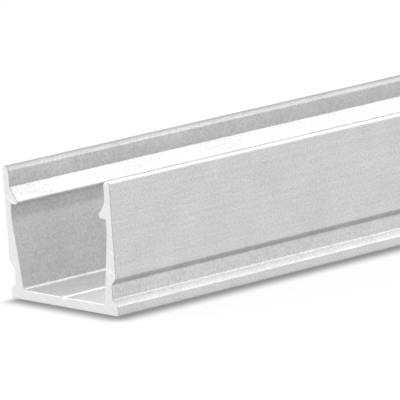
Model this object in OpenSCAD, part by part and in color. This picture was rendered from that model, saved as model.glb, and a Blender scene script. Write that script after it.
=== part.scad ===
// Aluminium channel profile for light strips, a straight length of extruded stock.
//
// The length runs along X and the section lies in the YZ plane. The origin is on
// the underside, at mid length and mid width. All sizes are in millimetres.

/* [Stock] */
// Length that the bar is cut to
length = 1000; // [100:50:3000]

/* [Channel] */
// Clear width of the floor between the two walls
channel_w = 12.1; // [8:0.1:20]
// Depth from the floor to the tips of the walls
channel_d = 12.1; // [9:0.1:20]
// Thickness of the floor plate
floor_t = 1; // [0.8:0.05:2]
// Fillet between the floor and each wall
floor_fillet = 0.3; // [0.1:0.05:0.5]

/* [Walls] */
// Thickness of a wall at its foot, from the outer panel to the channel
wall_foot_t = 1.95; // [1.8:0.05:3]
// Thickness of a wall beside and above its rib
wall_tip_t = 0.9; // [0.8:0.05:1.4]
// Height of the straight stretch of wall under the rib, above the taper
straight_h = 1.4; // [0.5:0.1:3]
// Blend where the straight stretch turns into the taper
taper_blend = 3; // [1:0.5:6]
// Rounding of the tip on its outer side
tip_outer_r = 0.25; // [0.1:0.05:0.3]
// Rounding of the tip on its inner side
tip_inner_r = 0.5; // [0.1:0.05:0.6]

/* [Cover ribs] */
// How far a rib stands out from its wall
rib_reach = 1; // [0.5:0.05:1.5]
// Depth of the rib's underside below the tips
rib_drop = 3.7; // [3:0.1:5]
// Height of the rib where it meets the wall
rib_root_h = 1.65; // [1.2:0.05:2]
// Height of the rib at its nose
rib_nose_h = 0.4; // [0.4:0.05:1]
// Rounding of the nose
rib_nose_r = 0.24; // [0.05:0.01:0.36]
// Fillet between the rib and its wall
rib_fillet = 0.15; // [0.05:0.05:0.3]

/* [Clip grooves] */
// Depth of the groove along each outer side
groove_d = 0.68; // [0.4:0.02:0.9]
// Height of the foot's edge below the groove
foot_edge_h = 1; // [0.7:0.05:1.5]
// Height of the slope from the foot's edge in to the groove
foot_slope_h = 0.55; // [0.4:0.05:1]
// Height of the groove's upright back
groove_back_h = 1.35; // [0.8:0.05:2]
// Height of the sloping overhang above the groove
overhang_h = 0.65; // [0.4:0.05:1]
// Fillet in the corners of the groove
groove_fillet = 0.25; // [0.1:0.05:0.3]
// Rounding of the foot's two edges
foot_r = 0.2; // [0.05:0.05:0.35]
// Rounding of the panel's lower edge, where the overhang begins
panel_edge_r = 0.1; // [0.05:0.01:0.2]

/* [Centre line] */
// Width of the drill guide, a V-shaped line along the middle of the floor
guide_w = 0.6; // [0.3:0.05:1]
// Depth of the drill guide
guide_d = 0.3; // [0.1:0.05:0.5]

/* [Hidden] */
$fn = 96;
aluminium = "#c8c9ca";
wedge_reach = 1.2;
round_over = 0.0002;

// Distances from the middle of the section
floor_y = channel_w / 2;
outer_y = floor_y + wall_foot_t;
inner_y = outer_y - wall_tip_t;
nose_y = inner_y - rib_reach;
groove_y = outer_y - groove_d;

// Roundings as large as their places allow
tip_r = min(tip_inner_r, wall_tip_t - tip_outer_r);
nose_r = min(rib_nose_r, 0.6 * rib_nose_h);

// Heights above the underside
tip_z = floor_t + channel_d;
rib_z = tip_z - rib_drop;
taper_z = rib_z - straight_h;
groove_z = foot_edge_h + foot_slope_h;
overhang_z = groove_z + groove_back_h;
panel_z = overhang_z + overhang_h;

// Corners of the right half, anticlockwise from the underside to the middle
// of the floor. Each is its place across, its height and its rounding radius.
half_corners = [
  [outer_y, 0, foot_r],
  [outer_y, foot_edge_h, foot_r],
  [groove_y, groove_z, groove_fillet],
  [groove_y, overhang_z, groove_fillet],
  [outer_y, panel_z, panel_edge_r],
  [outer_y, tip_z, tip_outer_r],
  [inner_y, tip_z, tip_r],
  [inner_y, rib_z + rib_root_h, rib_fillet],
  [nose_y, rib_z + rib_nose_h, nose_r],
  [nose_y, rib_z, nose_r],
  [inner_y, rib_z, rib_fillet],
  [inner_y, taper_z, taper_blend],
  [floor_y, floor_t, floor_fillet],
  [guide_w / 2, floor_t, 0],
  [0, floor_t - guide_d, 0],
];

// The left half runs back down, without the corner in the middle
left_corners = [
  for (i = [len(half_corners) - 2:-1:0])
    let (c = half_corners[i])
    [-c.x, c.y, c.z]
];
corners = concat(half_corners, left_corners);
outline = [for (c = corners) [c.x, c.y]];
count = len(outline);

function unit(v) = v / norm(v);
function before(i) = outline[(i + count - 1) % count];
function after(i) = outline[(i + 1) % count];
function is_convex(i) = cross(outline[i] - before(i), after(i) - outline[i]) > 0;

// Sharp wedge at a corner, outside the circle that rounds it. The circle is a
// hair over size, so that it crosses both sides of the corner cleanly.
module corner_wedge(i) {
  p = outline[i];
  r = corners[i].z;
  ends = is_convex(i) ? [before(i), after(i)] : [after(i), before(i)];
  to_first = unit(ends[0] - p);
  to_last = unit(ends[1] - p);
  half_angle = acos(to_first * to_last) / 2;
  centre = p + unit(to_first + to_last) * r / sin(half_angle);
  tangent = r / tan(half_angle);
  rim = [p + to_first * tangent, p, p + to_last * tangent];
  difference() {
    polygon(concat([centre], [for (q = rim) centre + wedge_reach * (q - centre)]));
    translate(centre) circle(r + round_over);
  }
}

// Wedges of all the rounded corners that turn one way
module corner_wedges(convex) {
  for (i = [0:count - 1])
    if (corners[i].z > 0 && is_convex(i) == convex) corner_wedge(i);
}

// Section of the bar: fillets fill the concave corners, and the convex ones are cut round
module section() {
  difference() {
    union() {
      polygon(outline);
      corner_wedges(convex = false);
    }
    corner_wedges(convex = true);
  }
}

// The extruded bar, sawn square at both ends
module channel_profile() {
  color(aluminium)
    rotate([90, 0, 90])
      linear_extrude(height = length, center = true)
        section();
}

channel_profile();
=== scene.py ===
import math

import bmesh
import bpy
from mathutils import Matrix, Vector


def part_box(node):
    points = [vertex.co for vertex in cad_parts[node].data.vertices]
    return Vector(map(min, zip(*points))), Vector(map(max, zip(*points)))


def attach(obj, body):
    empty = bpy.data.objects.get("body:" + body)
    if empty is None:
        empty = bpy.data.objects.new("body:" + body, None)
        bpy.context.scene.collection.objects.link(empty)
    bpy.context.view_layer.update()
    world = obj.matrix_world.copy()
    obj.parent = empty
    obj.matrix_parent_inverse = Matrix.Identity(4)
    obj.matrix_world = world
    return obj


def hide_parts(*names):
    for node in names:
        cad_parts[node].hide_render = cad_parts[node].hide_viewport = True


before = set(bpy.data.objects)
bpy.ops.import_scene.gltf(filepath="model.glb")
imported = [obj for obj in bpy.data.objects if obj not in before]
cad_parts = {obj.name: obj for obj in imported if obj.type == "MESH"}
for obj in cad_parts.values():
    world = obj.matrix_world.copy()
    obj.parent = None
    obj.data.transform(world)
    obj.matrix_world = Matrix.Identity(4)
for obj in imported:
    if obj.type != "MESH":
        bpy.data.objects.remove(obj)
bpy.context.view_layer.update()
mm = 0.001
print("frame loaded")


def toLinear(hexColour):
    parts = [int(hexColour[i:i + 2], 16) / 255 for i in (1, 3, 5)]
    linear = [p / 12.92 if p <= 0.04045 else ((p + 0.055) / 1.055) ** 2.4 for p in parts]
    return linear + [1.0]


def addNode(tree, kind, settings=None, links=None):
    node = tree.nodes.new(kind)
    for key, value in (settings or {}).items():
        if isinstance(key, int) or key in node.inputs:
            node.inputs[key].default_value = value
        else:
            setattr(node, key, value)
    for key, source in (links or {}).items():
        tree.links.new(source, node.inputs[key])
    return node


def newMaterial(name):
    material = bpy.data.materials.new(name)
    material.use_nodes = True
    material.node_tree.nodes.clear()
    return material, material.node_tree


# selects the points, edges or faces of the mesh in edit mode that pass a test
def pick(piece, parts, wanted):
    bpy.ops.mesh.select_all(action="DESELECT")
    mesh = bmesh.from_edit_mesh(piece.data)
    for part in getattr(mesh, parts):
        if wanted(part):
            part.select_set(True)
    bmesh.update_edit_mesh(piece.data)


# the bar's section in mm; length, width and height come from the frame
# as in the CAD part, but for the rib's nose, the overhang and the panel's edge, corrected here
bar = {
    "node": "channel_profile",
    "floorWidth": 12.1,
    "floorThick": 1.0,
    "floorFillet": 0.3,
    "wallTip": 0.9,
    "straightUnderRib": 1.4,
    "taperBlend": 3.0,
    "tipOuterRound": 0.25,
    "tipInnerRound": 0.5,
    "ribReach": 1.0,
    "ribDrop": 3.7,
    "ribRootHeight": 1.65,
    "ribNoseHeight": 0.34,
    "ribNoseRound": 0.25,
    "ribFillet": 0.15,
    "grooveDepth": 0.68,
    "footEdge": 1.0,
    "footSlope": 0.55,
    "grooveBack": 1.5,
    "overhang": 0.6,
    "grooveFillet": 0.25,
    "footRound": 0.2,
    "panelEdgeRound": 0.28,
    "guideWidth": 0.6,
    "guideDepth": 0.3,
    "roundSegments": 8,
    "edgeBreak": 0.08,  # edges of the sawn ends, taken off with a file; less than any rounding
    "edgeSegments": 3,
    "edgeCuts": ((4.0, 9), (1.2, 3), (0.6, 1)),  # edges longer than this get so many cuts
    "edgeWaver": 0.02,
    "waverSeed": 4,
    "smoothAngle": 40,  # degrees
}
tiny = 0.001 * mm  # places closer than this are the same


def sectionCorners(outer, tip):
    # right half from the underside to the middle of the floor: place across, height, rounding
    inner = outer - bar["wallTip"]
    nose = inner - bar["ribReach"]
    groove = outer - bar["grooveDepth"]
    rib = tip - bar["ribDrop"]
    grooveLow = bar["footEdge"] + bar["footSlope"]
    grooveHigh = grooveLow + bar["grooveBack"]
    half = [
        (outer, 0, bar["footRound"]),
        (outer, bar["footEdge"], bar["footRound"]),
        (groove, grooveLow, bar["grooveFillet"]),
        (groove, grooveHigh, bar["grooveFillet"]),
        (outer, grooveHigh + bar["overhang"], bar["panelEdgeRound"]),
        (outer, tip, bar["tipOuterRound"]),
        (inner, tip, bar["tipInnerRound"]),
        (inner, rib + bar["ribRootHeight"], bar["ribFillet"]),
        (nose, rib + bar["ribNoseHeight"], bar["ribNoseRound"]),
        (nose, rib, bar["ribNoseRound"]),
        (inner, rib, bar["ribFillet"]),
        (inner, rib - bar["straightUnderRib"], bar["taperBlend"]),
        (bar["floorWidth"] / 2, bar["floorThick"], bar["floorFillet"]),
        (bar["guideWidth"] / 2, bar["floorThick"], 0),
        (0, bar["floorThick"] - bar["guideDepth"], 0),
    ]
    return half + [(-y, z, r) for y, z, r in half[-2::-1]]


# how far a rounding reaches along the two sides of its corner
def roundReach(before, corner, after):
    a = Vector(before[:2]) - Vector(corner[:2])
    b = Vector(after[:2]) - Vector(corner[:2])
    return corner[2] / math.tan(a.angle(b) / 2)


def buildBar():
    low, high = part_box(bar["node"])
    corners = sectionCorners(high[1] / mm, high[2] / mm)
    places = [Vector((low[0], y * mm, z * mm)) for y, z, r in corners]
    bpy.ops.object.select_all(action="DESELECT")
    bpy.ops.mesh.primitive_plane_add(size=mm)
    piece = bpy.context.object
    piece.name = "anodised_bar"
    bpy.ops.object.mode_set(mode="EDIT")
    bpy.ops.mesh.merge(type="CENTER")  # one point, drawn on round the section
    bpy.ops.transform.translate(value=places[0])
    for start, end in zip(places, places[1:]):
        bpy.ops.mesh.extrude_region_move(TRANSFORM_OT_translate={"value": end - start})
    bpy.ops.mesh.select_all(action="SELECT")
    bpy.ops.mesh.edge_face_add()
    along = (high[0] - low[0], 0, 0)
    bpy.ops.mesh.extrude_region_move(TRANSFORM_OT_translate={"value": along})
    bpy.ops.mesh.select_all(action="SELECT")
    bpy.ops.mesh.normals_make_consistent(inside=False)
    bpy.ops.mesh.select_mode(type="EDGE")
    for i, corner in enumerate(corners):
        if corner[2] == 0:
            continue
        reach = roundReach(corners[i - 1], corner, corners[(i + 1) % len(corners)])
        here = Vector(corner[:2]) * mm
        pick(piece, "edges", lambda e: all((v.co.yz - here).length < tiny for v in e.verts))
        bpy.ops.mesh.bevel(
            offset=reach * mm, segments=bar["roundSegments"], profile=0.5, affect="EDGES")
    # the rims of both sawn ends: long edges cut up, then broken with a file and left a little uneven
    edgeBreak = bar["edgeBreak"] * mm
    fromEnd = lambda v: min(v.co.x - low[0], high[0] - v.co.x)
    onRim = lambda e: all(fromEnd(v) < tiny for v in e.verts)
    for length, cuts in bar["edgeCuts"]:
        pick(piece, "edges", lambda e: onRim(e) and e.calc_length() > length * mm)
        bpy.ops.mesh.subdivide(number_cuts=cuts)
    pick(piece, "edges", onRim)
    bpy.ops.mesh.bevel(
        offset=edgeBreak, segments=bar["edgeSegments"], profile=0.5, affect="EDGES",
        clamp_overlap=True)
    bpy.ops.mesh.select_mode(type="VERT")
    pick(piece, "verts", lambda v: 10 * tiny < fromEnd(v) < edgeBreak - 10 * tiny)
    bpy.ops.transform.vertex_random(offset=bar["edgeWaver"] * mm, seed=bar["waverSeed"])
    bpy.ops.object.mode_set(mode="OBJECT")
    return piece


profile = buildBar()
print("bar modelled:", len(profile.data.polygons), "faces")

bpy.ops.object.shade_smooth_by_angle(angle=math.radians(bar["smoothAngle"]))
weights = profile.modifiers.new("flatSides", "WEIGHTED_NORMAL")
weights.keep_sharp = True
bpy.ops.object.modifier_apply(modifier=weights.name)


# clear anodised aluminium, etched satin before the bath: an even, soft metal sheen with a fine grain
satin = {
    "grainDark": "#c8c8c8",
    "grainLight": "#e7e7e7",
    "roughness": (0.48, 0.56),
    "grain": 0.2,  # mm; the etch pits are finer, and drawn this coarse to show
    "grainDepth": 0.006,
    "grainRange": (0.25, 0.75),  # of the pattern, from the dark tone to the light one
    "pitStrength": 0.5,
    "cloud": 4.0,  # mm
    "cloudShare": 0.35,
    "dieLine": (80.0, 0.4),  # mm, along and across the bar
    "dieLineShare": 0.25,
    "underside": 0.84,  # painted shade: share of the colour kept on faces that look down
    "looksDown": (-0.7, -0.1),  # Z of the normal, from full painted shade to none
    "crownShade": 0.45,  # painted shade: share of the colour kept on the crown of the left wall
    "crownShadeBand": (0.4, 0.04),  # mm below the tip, where the painted shade begins and where it is full
}


def satinAnodised():
    material, tree = newMaterial("satinAnodisedAluminium")
    surface = addNode(tree, "ShaderNodeTexCoord")
    place = surface.outputs["Object"]
    grain = addNode(tree, "ShaderNodeTexNoise", {
        "Scale": 1 / (satin["grain"] * mm), "Detail": 2.0, "Roughness": 0.6}, {"Vector": place})
    cloud = addNode(tree, "ShaderNodeTexNoise", {
        "Scale": 1 / (satin["cloud"] * mm), "Detail": 2.0}, {"Vector": place})
    along, across = satin["dieLine"]
    drawn = addNode(tree, "ShaderNodeMapping", {
        "vector_type": "TEXTURE", "Scale": (along * mm, across * mm, across * mm)}, {"Vector": place})
    lines = addNode(tree, "ShaderNodeTexNoise", {
        "Scale": 1.0, "Detail": 3.0}, {"Vector": drawn.outputs[0]})
    soft = addNode(tree, "ShaderNodeMath", {
        "operation": "MULTIPLY_ADD", 1: satin["cloudShare"], 2: -satin["cloudShare"] / 2},
        {0: cloud.outputs["Fac"]})
    faint = addNode(tree, "ShaderNodeMath", {
        "operation": "MULTIPLY_ADD", 1: satin["dieLineShare"], 2: -satin["dieLineShare"] / 2},
        {0: lines.outputs["Fac"]})
    uneven = addNode(tree, "ShaderNodeMath", {"operation": "ADD"}, {
        0: soft.outputs[0], 1: faint.outputs[0]})
    tone = addNode(tree, "ShaderNodeMath", {"operation": "ADD"}, {
        0: grain.outputs["Fac"], 1: uneven.outputs[0]})
    darkest, lightest = satin["grainRange"]
    spread = addNode(tree, "ShaderNodeMapRange", {
        "From Min": darkest, "From Max": lightest}, {"Value": tone.outputs[0]})
    colour = addNode(tree, "ShaderNodeMix", {
        "data_type": "RGBA", 6: toLinear(satin["grainDark"]), 7: toLinear(satin["grainLight"])},
        {0: spread.outputs[0]})
    # painted shade: faces that look down, such as the overhang and the ribs' undersides, are darkened
    # in colour
    most, least = satin["looksDown"]
    facing = addNode(tree, "ShaderNodeSeparateXYZ", links={0: surface.outputs["Normal"]})
    undersideShade = addNode(tree, "ShaderNodeMapRange", {
        "From Min": most, "From Max": least, "To Min": satin["underside"]},
        {"Value": facing.outputs["Z"]})
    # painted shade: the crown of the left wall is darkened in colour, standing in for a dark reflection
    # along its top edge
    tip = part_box(bar["node"])[1][2]
    begins, full = satin["crownShadeBand"]
    spot = addNode(tree, "ShaderNodeSeparateXYZ", links={0: place})
    crownRamp = addNode(tree, "ShaderNodeMapRange", {
        "From Min": tip - begins * mm, "From Max": tip - full * mm}, {"Value": spot.outputs["Z"]})
    onLeft = addNode(tree, "ShaderNodeMath", {
        "operation": "GREATER_THAN", 1: 0.0}, {0: spot.outputs["Y"]})
    crown = addNode(tree, "ShaderNodeMath", {"operation": "MULTIPLY"}, {
        0: crownRamp.outputs[0], 1: onLeft.outputs[0]})
    crownShading = addNode(tree, "ShaderNodeMapRange", {
        "To Min": 1.0, "To Max": satin["crownShade"]}, {"Value": crown.outputs[0]})
    # painted shade from both masks: faces that look down and the left wall's crown
    paintedShade = addNode(tree, "ShaderNodeMath", {"operation": "MULTIPLY"}, {
        0: undersideShade.outputs[0], 1: crownShading.outputs[0]})
    toned = addNode(tree, "ShaderNodeVectorMath", {"operation": "SCALE"}, {
        0: colour.outputs[2], "Scale": paintedShade.outputs[0]})
    low, high = satin["roughness"]
    rough = addNode(tree, "ShaderNodeMapRange", {
        "To Min": high, "To Max": low}, {"Value": tone.outputs[0]})
    pits = addNode(tree, "ShaderNodeBump", {
        "Strength": satin["pitStrength"], "Distance": satin["grainDepth"] * mm},
        {"Height": tone.outputs[0]})
    shader = addNode(tree, "ShaderNodeBsdfPrincipled", {"Metallic": 1.0}, {
        "Base Color": toned.outputs[0], "Roughness": rough.outputs[0], "Normal": pits.outputs[0]})
    addNode(tree, "ShaderNodeOutputMaterial", links={"Surface": shader.outputs["BSDF"]})
    return material


# bare aluminium as the saw left it: paler than the anodised sides, with slanting tooth marks
sawn = {
    "dull": "#e2e2e2",
    "bright": "#eeeeee",
    # the deep marks' near-white colour is a painted highlight on their ridges
    "markHighlightColour": "#fafafa",
    "roughness": 0.5,
    "slant": 25.0,  # degrees, the way that the blade went through
    "tooth": (5.0, 0.22),  # mm, along and across a tooth mark
    "toothDepth": 0.008,
    "toothRange": (0.3, 0.7),  # of the pattern, from the dull tone to the bright one
    "cutStrength": 0.6,
    # mm from the middle of the underside, square to the slant, and how far along it a mark runs
    "deepMarks": ((5.83, 12.0), (6.6, -1.0), (7.0, -1.0), (8.84, 0.0)),
    "markWidth": 0.17,
    "markBreak": 0.9,  # mm, between the places where a mark fades
    "markRange": (0.35, 0.6),  # of the fading, from no mark to all of it
    "squareOn": 0.9,  # share of the normal along the bar, from which a face is sawn
}


def sawnAluminium():
    material, tree = newMaterial("sawnAluminium")
    place = addNode(tree, "ShaderNodeTexCoord").outputs["Object"]
    turn = (math.radians(sawn["slant"]), 0, 0)
    along, across = sawn["tooth"]
    slanted = addNode(tree, "ShaderNodeMapping", {
        "vector_type": "TEXTURE", "Rotation": turn, "Scale": (mm, along * mm, across * mm)},
        {"Vector": place})
    teeth = addNode(tree, "ShaderNodeTexNoise", {
        "Scale": 1.0, "Detail": 3.0, "Roughness": 0.6}, {"Vector": slanted.outputs[0]})
    ruled = addNode(tree, "ShaderNodeMapping", {
        "vector_type": "TEXTURE", "Rotation": turn, "Scale": (mm, mm, mm)}, {"Vector": place})
    parts = addNode(tree, "ShaderNodeSeparateXYZ", links={0: ruled.outputs[0]})
    marks = None
    for level, end in sawn["deepMarks"]:
        off = addNode(tree, "ShaderNodeMath", {
            "operation": "SUBTRACT", 1: level}, {0: parts.outputs["Z"]})
        away = addNode(tree, "ShaderNodeMath", {"operation": "ABSOLUTE"}, {0: off.outputs[0]})
        line = addNode(tree, "ShaderNodeMapRange", {
            "From Max": sawn["markWidth"], "To Min": 1.0, "To Max": 0.0}, {"Value": away.outputs[0]})
        reached = addNode(tree, "ShaderNodeMath", {
            "operation": "LESS_THAN", 1: end}, {0: parts.outputs["Y"]})
        mark = addNode(tree, "ShaderNodeMath", {"operation": "MULTIPLY"}, {
            0: line.outputs[0], 1: reached.outputs[0]})
        marks = mark if marks is None else addNode(
            tree, "ShaderNodeMath", {"operation": "MAXIMUM"}, {0: marks.outputs[0], 1: mark.outputs[0]})
    fading = addNode(tree, "ShaderNodeTexNoise", {
        "Scale": 1 / (sawn["markBreak"] * mm), "Detail": 2.0}, {"Vector": place})
    none, full = sawn["markRange"]
    kept = addNode(tree, "ShaderNodeMapRange", {
        "From Min": none, "From Max": full}, {"Value": fading.outputs["Fac"]})
    marks = addNode(tree, "ShaderNodeMath", {"operation": "MULTIPLY"}, {
        0: marks.outputs[0], 1: kept.outputs[0]})
    dullest, brightest = sawn["toothRange"]
    spread = addNode(tree, "ShaderNodeMapRange", {
        "From Min": dullest, "From Max": brightest}, {"Value": teeth.outputs["Fac"]})
    metal = addNode(tree, "ShaderNodeMix", {
        "data_type": "RGBA", 6: toLinear(sawn["dull"]), 7: toLinear(sawn["bright"])},
        {0: spread.outputs[0]})
    # the deep marks are real relief cut by the saw, and their near-white colour is a painted highlight
    colour = addNode(tree, "ShaderNodeMix", {
        "data_type": "RGBA", 7: toLinear(sawn["markHighlightColour"])},
        {0: marks.outputs[0], 6: metal.outputs[2]})
    relief = addNode(tree, "ShaderNodeMath", {"operation": "ADD"}, {
        0: teeth.outputs["Fac"], 1: marks.outputs[0]})
    cut = addNode(tree, "ShaderNodeBump", {
        "Strength": sawn["cutStrength"], "Distance": sawn["toothDepth"] * mm},
        {"Height": relief.outputs[0]})
    shader = addNode(tree, "ShaderNodeBsdfPrincipled", {
        "Metallic": 1.0, "Roughness": sawn["roughness"]}, {
        "Base Color": colour.outputs[2], "Normal": cut.outputs[0]})
    addNode(tree, "ShaderNodeOutputMaterial", links={"Surface": shader.outputs["BSDF"]})
    return material


profile.data.materials.clear()
profile.data.materials.append(satinAnodised())
profile.data.materials.append(sawnAluminium())
bpy.ops.object.mode_set(mode="EDIT")
bpy.ops.mesh.select_mode(type="FACE")
pick(profile, "faces", lambda f: abs(f.normal.x) > sawn["squareOn"])
profile.active_material_index = 1
bpy.ops.object.material_slot_assign()
bpy.ops.object.mode_set(mode="OBJECT")
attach(profile, "root")
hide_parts(bar["node"])
print("finishes set")


# studio: a pale floor, a pale room and broad soft lights
studio = {
    "floorSize": 60.0,
    "floorGap": 0.02 * mm,  # under the bar, so that the two faces don't meet
    "floorColour": "#f2f2f2",
    "floorWhite": 0.9,  # share of plain white in the floor as it is seen
    "floorInMetal": 0.8,  # the floor as the metal shows it, a little darker beside the bar
    # how far the shade at the bar's foot goes out past an end, in front and behind
    "shadeEnd": 2.8 * mm,
    "shadeFront": 3.3 * mm,
    "shadeBack": 2.0 * mm,
    "shadeUnder": 1.6 * mm,  # behind, it starts this far under the bar
    "shadeLevel": 0.25,  # brightness left where the shade is full
    "room": 0.3,  # brightness of the room between the lights
}
# broad soft lights all round: bearing from +X, height above the floor, spread, brightness
softLights = [
    ("backRightLight", 45, 12, 46, 0.5),
    ("backLight", 90, 12, 46, 1.45),
    ("backLeftLight", 135, 12, 46, 2.2),
    ("highBackRightLight", 60, 45, 46, 1.75),
    ("highBackLeftLight", 120, 45, 46, 1.87),
    ("topLight", -60, 72, 46, 1.42),
    ("highRightLight", 0, 45, 46, 1.75),
    ("highFrontRightLight", -30, 45, 46, 0.4),
    ("midFrontRightLight", -44, 27, 22, 1.1),  # the narrow one, for the fillets
    ("rightLight", 0, 12, 46, 0.92),
    ("frontRightLight", -45, 12, 46, 1.6),
]


def addFloor():
    bpy.ops.object.select_all(action="DESELECT")
    bpy.ops.mesh.primitive_plane_add(size=studio["floorSize"], location=(0, 0, -studio["floorGap"]))
    floor = bpy.context.object
    floor.name = "floor"
    material, tree = newMaterial("paleFloor")
    path = addNode(tree, "ShaderNodeLightPath")
    seen = addNode(tree, "ShaderNodeMath", {"operation": "MAXIMUM"}, {
        0: path.outputs["Is Camera Ray"], 1: path.outputs["Is Glossy Ray"]})
    # the shade at the bar's foot, by the share of its reach that a spot on the floor is away
    halfLength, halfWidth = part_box(bar["node"])[1][:2]
    rear = halfWidth - studio["shadeUnder"]
    place = addNode(tree, "ShaderNodeTexCoord").outputs["Object"]
    spot = addNode(tree, "ShaderNodeSeparateXYZ", links={0: place})
    fromMiddle = addNode(tree, "ShaderNodeMath", {"operation": "ABSOLUTE"}, {0: spot.outputs["X"]})
    pastEnd = addNode(tree, "ShaderNodeMapRange", {
        "From Min": halfLength, "From Max": halfLength + studio["shadeEnd"]},
        {"Value": fromMiddle.outputs[0]})
    inFront = addNode(tree, "ShaderNodeMapRange", {
        "From Min": -halfWidth, "From Max": -halfWidth - studio["shadeFront"]},
        {"Value": spot.outputs["Y"]})
    behind = addNode(tree, "ShaderNodeMapRange", {
        "From Min": rear, "From Max": rear + studio["shadeBack"]}, {"Value": spot.outputs["Y"]})
    pastSide = addNode(tree, "ShaderNodeMath", {"operation": "ADD"}, {
        0: inFront.outputs[0], 1: behind.outputs[0]})
    out = addNode(tree, "ShaderNodeCombineXYZ", links={
        "X": pastEnd.outputs[0], "Y": pastSide.outputs[0]})
    away = addNode(tree, "ShaderNodeVectorMath", {"operation": "LENGTH"}, {0: out.outputs[0]})
    shade = addNode(tree, "ShaderNodeMapRange", {
        "interpolation_type": "SMOOTHSTEP", "To Min": studio["shadeLevel"]},
        {"Value": away.outputs["Value"]})
    share = addNode(tree, "ShaderNodeMath", {
        "operation": "MULTIPLY", 1: studio["floorWhite"]}, {0: seen.outputs[0]})
    matt = addNode(tree, "ShaderNodeBsdfDiffuse", {"Color": toLinear(studio["floorColour"])})
    mirrored = addNode(tree, "ShaderNodeMath", {
        "operation": "MULTIPLY", 1: studio["floorInMetal"]}, {0: path.outputs["Is Glossy Ray"]})
    shaded = addNode(tree, "ShaderNodeMath", {"operation": "MULTIPLY"}, {
        0: shade.outputs[0], 1: path.outputs["Is Camera Ray"]})
    level = addNode(tree, "ShaderNodeMath", {"operation": "MAXIMUM"}, {
        0: shaded.outputs[0], 1: mirrored.outputs[0]})
    white = addNode(tree, "ShaderNodeEmission", {
        "Color": toLinear("#ffffff")}, {"Strength": level.outputs[0]})
    both = addNode(tree, "ShaderNodeMixShader", links={
        "Fac": share.outputs[0], 1: matt.outputs[0], 2: white.outputs[0]})
    addNode(tree, "ShaderNodeOutputMaterial", links={"Surface": both.outputs[0]})
    floor.data.materials.append(material)


def addRoom():
    world = bpy.data.worlds.new("room")
    world.use_nodes = True
    tree = world.node_tree
    tree.nodes.clear()
    path = addNode(tree, "ShaderNodeLightPath")
    glow = addNode(tree, "ShaderNodeBackground", {
        "Color": toLinear("#ffffff"), "Strength": studio["room"]})
    white = addNode(tree, "ShaderNodeBackground", {"Color": toLinear("#ffffff"), "Strength": 1.0})
    both = addNode(tree, "ShaderNodeMixShader", links={
        "Fac": path.outputs["Is Camera Ray"], 1: glow.outputs[0], 2: white.outputs[0]})
    addNode(tree, "ShaderNodeOutputWorld", links={"Surface": both.outputs[0]})
    bpy.context.scene.world = world


def addSoftLight(name, bearing, height, spread, brightness):
    bpy.ops.object.select_all(action="DESELECT")
    bearing, height = math.radians(bearing), math.radians(height)
    level = math.cos(height)
    way = Vector((math.cos(bearing) * level, math.sin(bearing) * level, math.sin(height)))
    bpy.ops.object.light_add(type="SUN", location=way)
    lamp = bpy.context.object
    lamp.name = name
    lamp.rotation_euler = way.to_track_quat("Z", "Y").to_euler()
    lamp.data.angle = math.radians(spread)
    lamp.data.energy = brightness * math.pi * math.sin(lamp.data.angle / 2) ** 2


view = {
    "target": (-488.81 * mm, -8.0 * mm, 9.34 * mm),
    "azimuth": -40.34,
    "elevation": 11.30,
    "roll": -4.05,
    "distance": 624.9 * mm,
    "lens": 585.0,
    "sensor": 36.0,
    "clip": (0.01, 200.0),
}


def addCamera():
    a = math.radians(view["azimuth"])
    e = math.radians(view["elevation"])
    back = Vector((math.sin(a) * math.cos(e), -math.cos(a) * math.cos(e), math.sin(e)))
    right = Vector((math.cos(a), math.sin(a), 0))
    roll = Matrix.Rotation(math.radians(view["roll"]), 3, "Z")
    turn = Matrix((right, back.cross(right), back)).transposed() @ roll
    place = Vector(view["target"]) + back * view["distance"]
    data = bpy.data.cameras.new("camera")
    data.lens = view["lens"]
    data.sensor_width = view["sensor"]
    data.clip_start, data.clip_end = view["clip"]
    camera = bpy.data.objects.new("camera", data)
    camera.matrix_world = Matrix.Translation(place) @ turn.to_4x4()
    bpy.context.collection.objects.link(camera)
    bpy.context.scene.camera = camera


addFloor()
addRoom()
for light in softLights:
    addSoftLight(*light)
addCamera()
bpy.context.scene.view_settings.view_transform = "Standard"
print("studio set")
